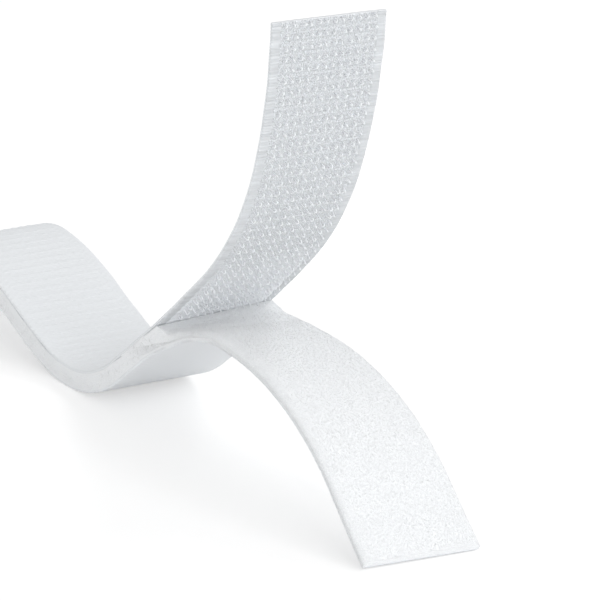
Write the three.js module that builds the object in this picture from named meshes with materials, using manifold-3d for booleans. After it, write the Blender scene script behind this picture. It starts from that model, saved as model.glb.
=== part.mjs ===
// Hook and loop tape on a roll: a woven strip with hooks pressed onto a woven strip with a looped pile.
// The pair is wound on a board core, runs flat from the roll's foot, climbs over a crest, dips to the
// floor again and parts there. The hook strip's free tail curls up, the loop strip's falls to the floor.
// Millimetres, +Z up, +X along the run of the tape, +Y across it. The origin is on the floor, under the
// middle of the flat lead.
import * as THREE from 'three';
import { mergeVertices } from 'three/addons/utils/BufferGeometryUtils.js';
import Module from 'manifold-3d';

// Sizes of the two strips
const TAPE_WIDTH = 20;
const GROUND = 0.6; // woven ground of either strip
const CAUGHT_ZONE = 2.3; // hooks and loops caught in each other, between the two grounds
const HOOK_HEIGHT = 1.2;
const HOOK_THICKNESS = 0.5;
const HOOK_REACH = 0.7; // how far a hook's tip leans along the tape
const HOOK_ROW_PITCH = 2;
const HOOK_COLUMNS = 11;
const HOOK_BACKING = 0.3; // slice of backing that the hooks stand on
const PILE_HEIGHT = 1.3;
const SELVEDGE = 1.5; // bare edge beside the hooks
const PILE_MARGIN = 0.5; // bare edge beside the pile
const PILE_SHOULDER = 0.6; // how far the pile's edges slope in

// Sizes of the roll
const CORE_BORE = 22;
const CORE_WALL = 2;
const TURNS = 5;
const STEPS_PER_TURN = 24;
const WINDING_GAP = 0.5; // between one turn and the next

// Clearances
const LAYER_GAP = 0.3; // between pieces that lie on each other
const CORE_SEAT = 0.4; // between the core and the innermost turn
const BEND_GAP = 0.4; // between two stretches of ground that meet at a bend line
const FIELD_GAP = 1.4; // between two stretches of hooks or pile that meet at a bend line

// The way of the tape: lengths in mm along it
const LEAD = 36; // flat on the floor
const RISE_LENGTH = 10; // curve from the floor into the climb
const CREST_LENGTH = 35; // over the crest and down its far side
const DIP_LENGTH = 8; // curve that touches the floor again
const CLIMB_LENGTH = 22; // from the dip to the peel line
const HOOK_TAIL_LENGTH = 36; // lower half of the free hook strip
const HOOK_END_LENGTH = 36; // upper half of it
const LOOP_CREST_LENGTH = 22; // free loop strip from the peel line over its own crest
const LOOP_TAIL_LENGTH = 26; // its fall
const LOOP_END_LENGTH = 24; // its last stretch, down to the floor

// Stretches of steady curve: the share of the length that each takes, its bend up and its twist in degrees
function curve(length, stretches) {
  const whole = stretches.reduce((sum, [share]) => sum + share, 0);
  return stretches.map(([share, bend, twist = 0]) => ({ length: (length * share) / whole, bend, twist }));
}
const CREST = curve(CREST_LENGTH, [[9, -40], [8, -12], [8, -8], [10, 4]]);
const DIP = curve(DIP_LENGTH, [[1, 20]]);
const CLIMB = curve(CLIMB_LENGTH, [[7, 40], [4, 1]]);
const HOOK_TAIL = curve(HOOK_TAIL_LENGTH, [[2, 4], [1, 14]]);
const HOOK_END = curve(HOOK_END_LENGTH, [[1, 15], [2, 18, -3]]);
const LOOP_CREST = curve(LOOP_CREST_LENGTH, [[5, -14, 1], [6, -25, -7]]);
const LOOP_TAIL = curve(LOOP_TAIL_LENGTH, [[7, -14, 1], [6, -13, 2]]);
const LOOP_END = curve(LOOP_END_LENGTH, [[1, -14, 2], [1, 2, 1]]);
const STEP = 3; // length of one facet along a curve

const MATED = 2 * GROUND + CAUGHT_ZONE;
const CAUGHT_LAYER = (CAUGHT_ZONE - 3 * LAYER_GAP) / 2;
const CORE_RADIUS = CORE_BORE / 2 + CORE_WALL;

// Finishes
const wovenHook = new THREE.MeshStandardMaterial({ color: 0xdfe3e7, roughness: 0.75, metalness: 0 });
const hookNylon = new THREE.MeshStandardMaterial({ color: 0xe9edf0, roughness: 0.4, metalness: 0 });
const wovenLoop = new THREE.MeshStandardMaterial({ color: 0xe6e9ec, roughness: 0.8, metalness: 0 });
const loopNylon = new THREE.MeshStandardMaterial({ color: 0xf3f5f7, roughness: 0.9, metalness: 0 });
const board = new THREE.MeshStandardMaterial({ color: 0xb79b77, roughness: 0.9, metalness: 0 });

const part = new THREE.Group();

function addMesh(name, geometry, material) {
  const mesh = new THREE.Mesh(geometry, material);
  mesh.name = name;
  part.add(mesh);
  return mesh;
}

const shift = (x, y, z) => new THREE.Matrix4().makeTranslation(x, y, z);
const pointOf = (frame) => new THREE.Vector3().setFromMatrixPosition(frame);
const last = (list) => list[list.length - 1];

// Frames along a line of stretches. A frame's X runs along the tape, Y across it and Z out of its top.
function walk(start, stretches, step = STEP) {
  const frames = [start.clone()];
  for (const { length, bend = 0, twist = 0 } of stretches) {
    const curved = bend !== 0 || twist !== 0;
    const count = curved ? Math.max(1, Math.round(Math.abs(length) / step)) : 1;
    const halfTurn = new THREE.Matrix4()
      .makeRotationY(-THREE.MathUtils.degToRad(bend) / count / 2)
      .multiply(new THREE.Matrix4().makeRotationX(THREE.MathUtils.degToRad(twist) / count / 2));
    const advance = halfTurn.clone().multiply(shift(length / count, 0, 0)).multiply(halfTurn);
    for (let i = 0; i < count; i += 1) {
      frames.push(last(frames).clone().multiply(advance));
    }
  }
  return frames;
}

// The same line moved along each frame's own Z.
const offset = (frames, z) => frames.map((frame) => frame.clone().multiply(shift(0, 0, z)));

// The same line with its ends drawn in by half the gap that a bend line needs.
function trimmed(frames, startGap, endGap) {
  const cut = frames.map((frame) => frame.clone());
  cut[0].multiply(shift(startGap / 2, 0, 0));
  last(cut).multiply(shift(-endGap / 2, 0, 0));
  return cut;
}

// A closed solid swept along frames. sectionAt(i) gives the section's points [y, z], anticlockwise.
function sweep(frames, sectionAt) {
  const positions = [];
  const index = [];
  const sides = sectionAt(0).length;
  frames.forEach((frame, i) => {
    for (const [y, z] of sectionAt(i)) {
      positions.push(...new THREE.Vector3(0, y, z).applyMatrix4(frame).toArray());
    }
  });
  for (let i = 0; i + 1 < frames.length; i += 1) {
    for (let j = 0; j < sides; j += 1) {
      const a = i * sides + j;
      const b = i * sides + ((j + 1) % sides);
      index.push(a, b, a + sides, b, b + sides, a + sides);
    }
  }
  const end = (frames.length - 1) * sides;
  for (let j = 1; j + 1 < sides; j += 1) {
    index.push(0, j + 1, j, end, end + j, end + j + 1);
  }
  const geometry = new THREE.BufferGeometry();
  geometry.setAttribute('position', new THREE.Float32BufferAttribute(positions, 3));
  geometry.setIndex(index);
  geometry.computeVertexNormals();
  return geometry;
}

// Sections, measured from the strip's own plain back
function slab(width, low, high) {
  const half = width / 2;
  return [[-half, low], [half, low], [half, high], [-half, high]];
}

function pileSection(top) {
  const foot = TAPE_WIDTH / 2 - PILE_MARGIN;
  const crown = foot - PILE_SHOULDER;
  const low = GROUND + LAYER_GAP;
  return [[-foot, low], [foot, low], [crown, top], [-crown, top]];
}

const FIELD_WIDTH = TAPE_WIDTH - 2 * SELVEDGE;
const HOOK_FACE = -GROUND - LAYER_GAP;
const CAUGHT_PILE_TOP = GROUND + LAYER_GAP + CAUGHT_LAYER;
const hookGroundSection = slab(TAPE_WIDTH, -GROUND, 0);
const caughtHookSection = slab(FIELD_WIDTH, HOOK_FACE - CAUGHT_LAYER, HOOK_FACE);
const hookBackingSection = slab(FIELD_WIDTH, HOOK_FACE - HOOK_BACKING, HOOK_FACE);
const loopGroundSection = slab(TAPE_WIDTH, 0, GROUND);
const caughtPileSection = pileSection(CAUGHT_PILE_TOP);
const fullPileSection = pileSection(GROUND + PILE_HEIGHT);

// The middle of the pressed pair, from the lead's start to the peel line
const leadStart = shift(-LEAD / 2, 0, MATED / 2);
const lead = walk(leadStart, [{ length: LEAD }]);
const riseSlope = -[...CREST, ...DIP].reduce((sum, stretch) => sum + stretch.bend, 0);
const rise = { length: RISE_LENGTH, bend: riseSlope };
const climbGained = pointOf(last(walk(shift(0, 0, 0), [rise]))).z;
const sloped = new THREE.Matrix4().makeRotationY(-THREE.MathUtils.degToRad(riseSlope));
const crestDrop = -pointOf(last(walk(sloped, [...CREST, ...DIP]))).z;
const straightClimb = (crestDrop - climbGained) / Math.sin(THREE.MathUtils.degToRad(riseSlope));
const band = walk(last(lead), [rise, { length: straightClimb }, ...CREST]);
const fold = walk(last(band), [...DIP, ...CLIMB]);
const peel = last(fold);

// The wound turns, walked back from the lead's start: the radius falls by one pitch in each turn
const pitch = MATED + WINDING_GAP;
const innerRadius = CORE_RADIUS + CORE_SEAT + MATED / 2;
const outerRadius = innerRadius + TURNS * pitch;
const stepAngle = 360 / STEPS_PER_TURN;
const halfStep = THREE.MathUtils.degToRad(stepAngle / 2);
const turns = [];
for (let i = 0; i < TURNS * STEPS_PER_TURN; i += 1) {
  const radius = outerRadius - (pitch * (i + 0.5)) / STEPS_PER_TURN;
  turns.push({ length: -2 * radius * Math.sin(halfStep), bend: -stepAngle });
}
const oneFacet = 2 * outerRadius; // longer than any step of a turn, so that each step is one facet
const wound = [...walk(leadStart, turns, oneFacet).reverse(), ...lead.slice(1)];

// The least distance between points of the winding that lie half a turn or more apart, less its thickness
function leastGap(frames, thickness) {
  const points = frames.slice(0, turns.length + 1).map(pointOf);
  let least = Infinity;
  for (let i = 0; i < points.length; i += 1) {
    for (let j = i + STEPS_PER_TURN / 2; j < points.length; j += 1) {
      least = Math.min(least, points[i].distanceTo(points[j]) - thickness);
    }
  }
  return least;
}
console.log(`wound pair: least gap to itself ${leastGap(wound, MATED).toFixed(2)} mm`);

// The board core, a ring along Y in the middle of the turns
const ring = new THREE.Shape().absarc(0, 0, CORE_RADIUS, 0, 2 * Math.PI);
ring.holes.push(new THREE.Path().absarc(0, 0, CORE_BORE / 2, 0, 2 * Math.PI, true));
const coreGeometry = new THREE.ExtrudeGeometry(ring, {
  depth: TAPE_WIDTH,
  bevelEnabled: false,
  curveSegments: 2 * STEPS_PER_TURN,
});
const core = addMesh('core', coreGeometry, board);
core.rotation.x = Math.PI / 2;
core.position.set(-LEAD / 2 - pitch / (2 * Math.PI), TAPE_WIDTH / 2, MATED / 2 + outerRadius);

// The four layers of the pressed pair along one stretch of its middle line
function addPair(suffix, middle, startGap, endGap) {
  const hookLine = offset(middle, MATED / 2);
  const loopLine = offset(middle, -MATED / 2);
  const layers = [
    ['hook_ground', hookLine, hookGroundSection, wovenHook],
    ['hook_field', hookLine, caughtHookSection, hookNylon],
    ['loop_pile', loopLine, caughtPileSection, loopNylon],
    ['loop_ground', loopLine, loopGroundSection, wovenLoop],
  ];
  for (const [name, line, section, material] of layers) {
    addMesh(`${name}_${suffix}`, sweep(trimmed(line, startGap, endGap), () => section), material);
  }
}
addPair('wound', wound, 0, BEND_GAP);
addPair('band', band, BEND_GAP, BEND_GAP);

// The two strips past the peel line, each on the line of its own back
const hookTail = walk(peel.clone().multiply(shift(0, 0, MATED / 2)), HOOK_TAIL);
const hookEnd = walk(last(hookTail), HOOK_END);
const loopCrest = walk(peel.clone().multiply(shift(0, 0, -MATED / 2)), LOOP_CREST);
const loopTail = walk(last(loopCrest), LOOP_TAIL);
const loopEnd = walk(last(loopTail), LOOP_END);

// How far past the peel line hooks and pile stand clear of each other at their full height
function fullHeightFrom() {
  const needed = 2 * GROUND + HOOK_HEIGHT + PILE_HEIGHT + LAYER_GAP;
  const hookPoints = walk(hookTail[0], [...HOOK_TAIL, ...HOOK_END], 1).map(pointOf);
  const loopPoints = walk(loopCrest[0], [...LOOP_CREST, ...LOOP_TAIL, ...LOOP_END], 1).map(pointOf);
  let along = 0;
  for (let i = 1; i < hookPoints.length; i += 1) {
    along += hookPoints[i].distanceTo(hookPoints[i - 1]);
    const apart = Math.min(...loopPoints.map((point) => point.distanceTo(hookPoints[i])));
    if (apart > needed) {
      return along;
    }
  }
  return along;
}
const parted = fullHeightFrom();

// The fold: the pair in the dip, with the loop strip's crest beyond the peel line
const foldHookLine = trimmed(offset(fold, MATED / 2), BEND_GAP, BEND_GAP);
addMesh('hook_ground_fold', sweep(foldHookLine, () => hookGroundSection), wovenHook);
addMesh('hook_field_fold', sweep(foldHookLine, () => caughtHookSection), hookNylon);
const foldLoopLine = [...offset(fold, -MATED / 2), ...loopCrest.slice(1)];
addMesh(
  'loop_ground_fold',
  sweep(trimmed(foldLoopLine, BEND_GAP, BEND_GAP), () => loopGroundSection),
  wovenLoop,
);

// The pile grows from its caught height at the peel line to its full height where the strips stand clear
function crestPileSection(i) {
  const past = pointOf(foldLoopLine[i]).distanceTo(pointOf(loopCrest[0]));
  const grown = i < fold.length ? 0 : Math.min(1, past / parted);
  return pileSection(THREE.MathUtils.lerp(CAUGHT_PILE_TOP, GROUND + PILE_HEIGHT, grown));
}
addMesh('loop_pile_fold', sweep(trimmed(foldLoopLine, BEND_GAP, FIELD_GAP), crestPileSection), loopNylon);

// The loop strip's tail and end
addMesh('loop_ground_tail', sweep(trimmed(loopTail, BEND_GAP, BEND_GAP), () => loopGroundSection), wovenLoop);
addMesh('loop_pile_tail', sweep(trimmed(loopTail, FIELD_GAP, FIELD_GAP), () => fullPileSection), loopNylon);
addMesh('loop_ground_end', sweep(trimmed(loopEnd, BEND_GAP, 0), () => loopGroundSection), wovenLoop);
addMesh('loop_pile_end', sweep(trimmed(loopEnd, FIELD_GAP, 0), () => fullPileSection), loopNylon);

// The hook strip's tail and end
addMesh('hook_ground_tail', sweep(trimmed(hookTail, BEND_GAP, BEND_GAP), () => hookGroundSection), wovenHook);
addMesh('hook_ground_end', sweep(trimmed(hookEnd, BEND_GAP, 0), () => hookGroundSection), wovenHook);

const wasm = await Module();
wasm.setup();

function toSolid(geometry) {
  const bare = new THREE.BufferGeometry();
  bare.setAttribute('position', geometry.getAttribute('position'));
  bare.setIndex(geometry.index);
  const merged = mergeVertices(bare);
  return new wasm.Manifold(
    new wasm.Mesh({
      numProp: 3,
      vertProperties: merged.getAttribute('position').array,
      triVerts: new Uint32Array(merged.index.array),
    }),
  );
}

function toGeometry(solid) {
  const mesh = solid.getMesh();
  const geometry = new THREE.BufferGeometry();
  geometry.setAttribute('position', new THREE.BufferAttribute(mesh.vertProperties, 3));
  geometry.setIndex(new THREE.BufferAttribute(mesh.triVerts, 1));
  geometry.computeVertexNormals();
  return geometry;
}

// One hook: a three-sided stem out of the backing, with a pointed tip that leans along the tape
function hookGeometry(frame, y, lean) {
  const foot = HOOK_FACE - HOOK_BACKING / 2;
  const tipHeight = -GROUND - HOOK_HEIGHT;
  const shoulder = THREE.MathUtils.lerp(HOOK_FACE - HOOK_BACKING, tipHeight, 0.6);
  const points = [];
  for (const z of [foot, shoulder]) {
    for (let k = 0; k < 3; k += 1) {
      const angle = (2 * Math.PI * k) / 3;
      points.push([(HOOK_THICKNESS / 2) * Math.cos(angle), y + (HOOK_THICKNESS / 2) * Math.sin(angle), z]);
    }
  }
  points.push([lean * HOOK_REACH, y, tipHeight]);
  const positions = points.flatMap((point) => new THREE.Vector3(...point).applyMatrix4(frame).toArray());
  const index = [0, 1, 2];
  for (let k = 0; k < 3; k += 1) {
    const next = (k + 1) % 3;
    index.push(k, 3 + k, next, next, 3 + k, 3 + next, 3 + k, 6, 3 + next);
  }
  const geometry = new THREE.BufferGeometry();
  geometry.setAttribute('position', new THREE.Float32BufferAttribute(positions, 3));
  geometry.setIndex(index);
  return geometry;
}

// Hooks in rows across the strip, fused to a slice of their backing; columns lean by turns to and fro
function hookRows(line, rowFrames) {
  let solid = toSolid(sweep(line, () => hookBackingSection));
  const columnPitch = FIELD_WIDTH / HOOK_COLUMNS;
  for (const frame of rowFrames) {
    for (let column = 0; column < HOOK_COLUMNS; column += 1) {
      const y = (column - (HOOK_COLUMNS - 1) / 2) * columnPitch;
      const lean = column % 2 === 0 ? 1 : -1;
      solid = solid.add(toSolid(hookGeometry(frame, y, lean)));
    }
  }
  return toGeometry(solid);
}

// Rows at the hook pitch, from one end's margin to the other's
function rowFrames(start, stretches, from, to) {
  const total = stretches.reduce((sum, stretch) => sum + stretch.length, 0);
  const rows = walk(start, stretches, HOOK_ROW_PITCH);
  return rows.filter((frame, i) => {
    const along = (total * i) / (rows.length - 1);
    return along >= from && along <= total - to;
  });
}
const rowMargin = FIELD_GAP / 2 + HOOK_REACH;
addMesh(
  'hook_rows_tail',
  hookRows(trimmed(hookTail, BEND_GAP, FIELD_GAP), rowFrames(hookTail[0], HOOK_TAIL, parted, rowMargin)),
  hookNylon,
);
addMesh(
  'hook_rows_end',
  hookRows(trimmed(hookEnd, FIELD_GAP, 0), rowFrames(hookEnd[0], HOOK_END, rowMargin, HOOK_REACH)),
  hookNylon,
);

// Bend lines: a point on each and the axis about which the stretch beyond it lifts
function bendLine(frame, z) {
  const axis = new THREE.Vector3().setFromMatrixColumn(frame, 1).negate();
  return { point: pointOf(frame.clone().multiply(shift(0, 0, z))).toArray(), axis: axis.toArray() };
}
const pairHinge = MATED / 2 - GROUND / 2;
part.userData.bendLines = {
  lead_bend: bendLine(last(lead), pairHinge),
  dip_bend: bendLine(last(band), pairHinge),
  hook_peel: bendLine(peel, pairHinge),
  hook_bend: bendLine(last(hookTail), -GROUND / 2),
  loop_bend: bendLine(last(loopCrest), GROUND / 2),
  loop_end_bend: bendLine(last(loopTail), GROUND / 2),
};

export default part;
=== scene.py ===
"""Hook and loop tape on a board core, with its free end peeled apart into a hook tail and a loop tail.

The tape's way is walked from a few stretches of steady curve. Every woven ground, hook, loop and
fibre is then placed by its distance along a strip, across it and out of its face.
"""

import math

import bpy
import numpy as np
from bpy.props import FloatProperty, FloatVectorProperty, IntProperty, PointerProperty
from bpy.types import Operator, Panel, PropertyGroup
from mathutils import Matrix, Vector


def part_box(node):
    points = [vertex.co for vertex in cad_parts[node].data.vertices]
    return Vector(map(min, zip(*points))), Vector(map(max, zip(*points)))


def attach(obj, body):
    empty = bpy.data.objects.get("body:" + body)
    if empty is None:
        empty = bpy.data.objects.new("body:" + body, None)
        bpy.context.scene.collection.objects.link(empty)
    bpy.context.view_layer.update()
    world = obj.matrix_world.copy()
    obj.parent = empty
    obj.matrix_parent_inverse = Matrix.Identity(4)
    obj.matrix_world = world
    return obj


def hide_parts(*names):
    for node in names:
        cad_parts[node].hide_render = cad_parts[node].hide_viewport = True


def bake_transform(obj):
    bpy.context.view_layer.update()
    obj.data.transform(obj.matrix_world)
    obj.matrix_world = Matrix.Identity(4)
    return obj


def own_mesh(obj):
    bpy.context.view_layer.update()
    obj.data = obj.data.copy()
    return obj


bl_info = {
    "name": "Hook and loop tape",
    "version": (1, 0, 0),
    "blender": (4, 5, 0),
    "location": "3D View > Sidebar > Tape",
    "description": "Builds a roll of hook and loop tape whose free end is peeled apart",
    "category": "Object",
}

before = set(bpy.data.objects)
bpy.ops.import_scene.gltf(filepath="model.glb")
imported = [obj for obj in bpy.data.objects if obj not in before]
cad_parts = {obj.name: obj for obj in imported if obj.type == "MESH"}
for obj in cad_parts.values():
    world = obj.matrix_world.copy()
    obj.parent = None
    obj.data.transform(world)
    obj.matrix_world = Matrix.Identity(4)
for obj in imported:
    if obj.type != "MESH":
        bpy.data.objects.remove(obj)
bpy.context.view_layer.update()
MM = 0.001

# What the frame gives
CORE_LOW, CORE_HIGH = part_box("core")
CORE_CENTRE = (CORE_LOW + CORE_HIGH) / 2
CORE_RADIUS = (CORE_HIGH.x - CORE_LOW.x) / 2
TAPE_WIDTH = CORE_HIGH.y - CORE_LOW.y

# The way of the tape: length in mm, bend up in degrees, twist in degrees
LEAD = 36
RISE_LENGTH = 10
CREST = [(9, -40, 0), (8, -12, 0), (8, -8, 0), (10, 4, 0)]
DIP = [(8, 20, 0)]
CLIMB = [(14, 40, 0), (8, 1, 0)]
HOOK_TAIL = [(24, 4, 0), (12, 14, 0)]
HOOK_END = [(12, 15, 0), (24, 18, -3)]
LOOP_CREST = [(10, -14, 1), (12, -25, -7)]
LOOP_TAIL = [(14, -14, 1), (12, -13, 2)]
LOOP_END = [(12, -14, 2), (12, 2, 1)]
WALK_STEP = 0.5 * MM

# The roll
TURNS = 5
STEPS_PER_TURN = 120
WINDING_GAP = 0.5 * MM
CORE_SEAT = 0.4 * MM

# Lamps: name, degrees round from the camera's right and up from the floor,
# size in metres and power in watts
LAMPS = [
    ("rear_key", 58, 40, 0.35, 2.0),
    ("side_key", -20, 43, 0.3, 1.1),
    ("front_key", -54, 27, 0.6, 2.2),
    ("low_fill", -103, 5, 0.7, 3.6),
]
LAMP_DISTANCE = 0.9
LAMP_AIM = Vector((0.1, 0, 0.02))
WORLD_LIGHT = 0.54

# The floor: half its side, and its shade and glow to the viewer
FLOOR_REACH = 3
FLOOR_SHADE = 0.66
FLOOR_GLOW = 0.47

# The camera's film in mm and its picture's width in pixels
FILM_WIDTH = 36
PICTURE_WIDTH = 600

# Slots that keep the frame's own plain colour, with the shader values set beside it
SLOT_VALUES = {
    "core_board": {},
    "hook_weave": {"Sheen Weight": 0.1},
    "hook_nylon": {"Specular IOR Level": 0.8},
    "loop_weave": {"Sheen Weight": 0.1},
    "loop_nylon": {"Sheen Weight": 0.3},
}

# Mottled finishes: darkest and lightest share of the colour, coarse and fine scale per metre, stretch along
# and across the tape, bump, roughness and the shader's other values
THIN_NYLON = {
    "Sheen Weight": 0.1,
    "Subsurface Weight": 1,
    "Subsurface Radius": (1, 1, 1),
    "Subsurface Scale": 0.4 * MM,
}
FINISHES = {
    # The hook face's colour is painted shade, darker than the same ground's back. Its wide mottle paints
    # dark gaps and bright glints among the stitches, beside uneven tone. The bare edges share the painted
    # shade.
    "shaded_hook_face": ((0.45, 1.35), (4800, 10000), (1, 1), 0.06 * MM, 0.6, THIN_NYLON),
    "shaded_hook_selvedge": ((0.78, 1.06), (1500, 4500), (1, 0.05), 0.05 * MM, 0.6, THIN_NYLON),
    # The legs and stubs are painted darker than the bows of the same filament, as shade, so that only the
    # bows show as bright dots
    "shaded_hook_legs": ((0.96, 1.04), (400, 3000), None, 0.01 * MM, 0.18, {"Specular IOR Level": 0.8}),
    "loop_felt": ((0.82, 1.09), (7000, 14000), None, 0.03 * MM, 0.9, {"Sheen Weight": 0.3}),
}
BUMP_STRENGTH = 0.6
RAMP_ENDS = (0.3, 0.7)
SELVEDGE_SHADE = 0.97

# Fineness of the meshes where they show and in the roll: rows to a weft rib, columns of the grounds,
# step and columns of the felt, and the step of the grounds' inner turns
SHOWN_MESH = {"rib": 6, "hook": 50, "loop": 30, "felt_step": 0.16 * MM, "felt": 101}
ROLL_MESH = {"rib": 3, "hook": 14, "loop": 14, "felt_step": 0.9 * MM, "felt": 13}
INNER_STEP = 1.6 * MM

# Relief of the grounds: warp yarns, uneven edges, and the hook strip's bumps and grooves
WARP_PITCH = 0.8 * MM
EDGE_SCALLOP = 0.03 * MM
EDGE_WAVE = 0.05 * MM
ANCHOR_BUMP = 0.1 * MM
ROW_GROOVE = 0.16 * MM
SELVEDGE_GROOVE = 0.2 * MM
SELVEDGE_GROOVE_WIDTH = 0.14 * MM

# Hooks: scatter along and across, turn from the tape's way, arc of the bow, heights of the filament's foot,
# the straight leg and the stub of the cut leg
HOOK_SCATTER = (0.06 * MM, 0.05 * MM)
HOOK_SKEW = math.radians(28)
HOOK_ARC = np.radians(np.linspace(180, -45, 10))
HOOK_FOOT = -0.15 * MM
LEG_TOP = 0.3 * MM
STUB = (0.15 * MM, 0.38 * MM)

# Rows of hooks: the first one's distance from the cut end, and past the peel line the first that shows
# and the reach of those hidden in the bank
FIRST_ROW = 0.5 * MM
SHOWN_ROWS = 10.5 * MM
HELD_ROWS = (1 * MM, 8 * MM)

# Fibres pulled onto the hook face, whose lighter colour also paints light into the shaded mouth: their end
# past the peel line, where they thin out before it, their cover
LINT_AND_PAINTED_LIGHT_END = 30 * MM
LINT_AND_PAINTED_LIGHT_FADE = 18 * MM
LINT_AND_PAINTED_LIGHT_COVER = 0.9

# The mouth, where the strips part: past the peel line, and further on towards the far edge
MOUTH = 6 * MM
MOUTH_SKEW = 0.1

# The matted layer: distance from the tape's edge, fall past the peel line, width and lowest share of its
# shoulders, bumps by height, size and seed, lap over a ground's edge and the end of that lap
FELT_INSET = 0.03 * MM
FELT_FALL = 15 * MM
FELT_SHOULDER = 1.6 * MM
SHOULDER_LOW = 0.3
FELT_BUMPS = [(0.02 * MM, 1.1 * MM, 11), (0.007 * MM, 0.22 * MM, 12)]
FELT_LAP = 0.35
PRESSED_END = 4 * MM
SHARP_ANGLE = math.radians(45)

# The bank of loops that the hooks hold up past the peel line. From the mouth on it follows the hook face to
# its crest, and falls in front of that to its toe.
BANK_LENGTH = 18.5 * MM
BANK_CREST = 2.7 * MM
BANK_FRONT = 4.5 * MM
BANK_FALL = 11 * MM
BANK_TOE = 9 * MM

# Fibres: least and greatest length, span of a loop, lift, and share of the diameter
NAP_LENGTH = (0.2 * MM, 0.55 * MM)
LOOP_SPAN = (0.2 * MM, 0.6 * MM)
EDGE_LENGTH = (0.4 * MM, 1.1 * MM)
FIBRE_LIFT = (0.02 * MM, 0.06 * MM)
FIBRE_SHARE = (0.75, 1.2)
FIBRE_SIDES = 3
HOOK_SIDES = 6

# Fine loops on each millimetre of the loop strip's edges, by stretch
EDGE_LOOPS = {"roll": 3.5, "lead": 10, "dip": 10, "fall": 30, "tip": 36}

# Layers of fibres that lie on the free pile and on the bank, and how far before the peel line they start
NAP_LAYERS = 3
BANK_LAYERS = 2
NAP_LEAD = 2 * MM

# First seed of each kind of fibre. Stretches count on from it, and so do the bank's layers.
SEEDS = {"held_hooks": 10, "edge": 20, "pressed_edge": 30, "loops": 40, "nap": 60, "bank": 80}
SEEDS_PER_LAYER = 10

# How far each bend spreads along the tape, before its line and after it, in mm
BEND_SPREAD = {
    "lead_bend": (8, 8),
    "dip_bend": (7, 7),
    "hook_peel": (5, 9),
    "hook_bend": (17, 17),
    "loop_bend": (7, 13),
    "loop_end_bend": (12, 12),
}

# Ends of the names of the nodes that the pieces of each stretch stand for
NODES = {"roll": "wound", "lead": "band", "dip": "fold", "peel": "tail", "fall": "tail", "tip": "end"}


def metres(name, description, default):
    return FloatProperty(name=name, description=description, default=default, unit="LENGTH")


def angle(name, description, degrees):
    return FloatProperty(name=name, description=description, default=math.radians(degrees), subtype="ANGLE")


def tint(name, description, default):
    return FloatVectorProperty(name=name, description=description, default=default, subtype="COLOR")


class TapeSizes(PropertyGroup):
    """Sizes of the strips and the core"""

    width: metres("Tape width", "Width of both strips", TAPE_WIDTH)
    ground: metres("Ground", "Thickness of a woven ground", 0.6 * MM)
    caught: metres("Caught zone", "Hooks and loops between two pressed grounds", 2.3 * MM)
    weft_pitch: metres("Weft pitch", "Distance from one weft rib to the next", 0.48 * MM)
    weave_relief: metres("Weave relief", "Height of a weft rib", 0.05 * MM)
    selvedge_relief: metres("Selvedge relief", "Height of a rib of the bare edges", 0.08 * MM)
    selvedge: metres("Selvedge", "Bare edge beside the hooks", 1.6 * MM)
    hook_height: metres("Hook height", "Height of a hook over its ground", 0.95 * MM)
    hook_bow: metres("Hook bow", "Radius of a hook's round top", 0.25 * MM)
    hook_wire: metres("Hook wire", "Diameter of the hooks' filament", 0.17 * MM)
    hook_row_pitch: metres("Row pitch", "Distance from one row of hooks to the next", 1.7 * MM)
    hook_columns: IntProperty(name="Hook columns", description="Hooks in one row", default=12, min=1)
    felt_height: metres("Felt height", "Height of the matted foot of the loops", 1.05 * MM)
    pile_height: metres("Pile height", "Height of the tallest loops", 1.2 * MM)
    fibre: metres("Loop fibre", "Diameter of a loop's fibre", 0.04 * MM)
    loops_per_mm2: FloatProperty(
        name="Loops", description="Loops on each square millimetre of the free pile", default=0.6
    )
    nap_per_mm2: FloatProperty(
        name="Nap", description="Lying fibres on each square millimetre of one layer", default=9
    )
    core_wall: metres("Core wall", "Thickness of the board core", 2 * MM)


class TapeColours(PropertyGroup):
    """Colours of the finishes"""

    # Painted shade: the hook side is darker than the back of the same ground
    shaded_hook_face: tint("Hook face", "Hook side of the hook strip's ground", (0.685, 0.705, 0.725))
    # Painted shade: the legs are darker than the bows of the same filament
    shaded_hook_legs: tint("Hook legs", "Legs and stubs of the hooks", (0.79, 0.805, 0.83))
    loop_felt: tint("Loop felt", "Matted foot of the loops", (0.895, 0.912, 0.938))
    floor: tint("Floor", "The pale floor", (0.95, 0.95, 0.95))


class PhotoView(PropertyGroup):
    """The camera's place"""

    azimuth: angle("Azimuth", "Round the object", 54.58)
    elevation: angle("Elevation", "Above the floor", 19.58)
    lean: angle("Lean", "Roll of the camera", 3.26)
    distance: metres("Distance", "From the camera to the middle of its view", 1.0)
    right: metres("Right", "Middle of the view, right of the dip", 28.19 * MM)
    up: metres("Up", "Middle of the view, above the dip", 10.27 * MM)
    pixels_per_mm: FloatProperty(name="Pixels per mm", description="Scale of the picture", default=6.38)


# Frames and lines
def shift(x, y, z):
    """A frame moved by x, y, z."""
    moved = np.eye(4)
    moved[:3, 3] = (x, y, z)
    return moved


def tilt(degrees):
    """A turn about Y that lifts X."""
    c, s = math.cos(math.radians(degrees)), math.sin(math.radians(degrees))
    return np.array([[c, 0, -s, 0], [0, 1, 0, 0], [s, 0, c, 0], [0, 0, 0, 1]])


def roll_over(degrees):
    """A turn about X."""
    c, s = math.cos(math.radians(degrees)), math.sin(math.radians(degrees))
    return np.array([[1, 0, 0, 0], [0, c, -s, 0], [0, s, c, 0], [0, 0, 0, 1]])


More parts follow.
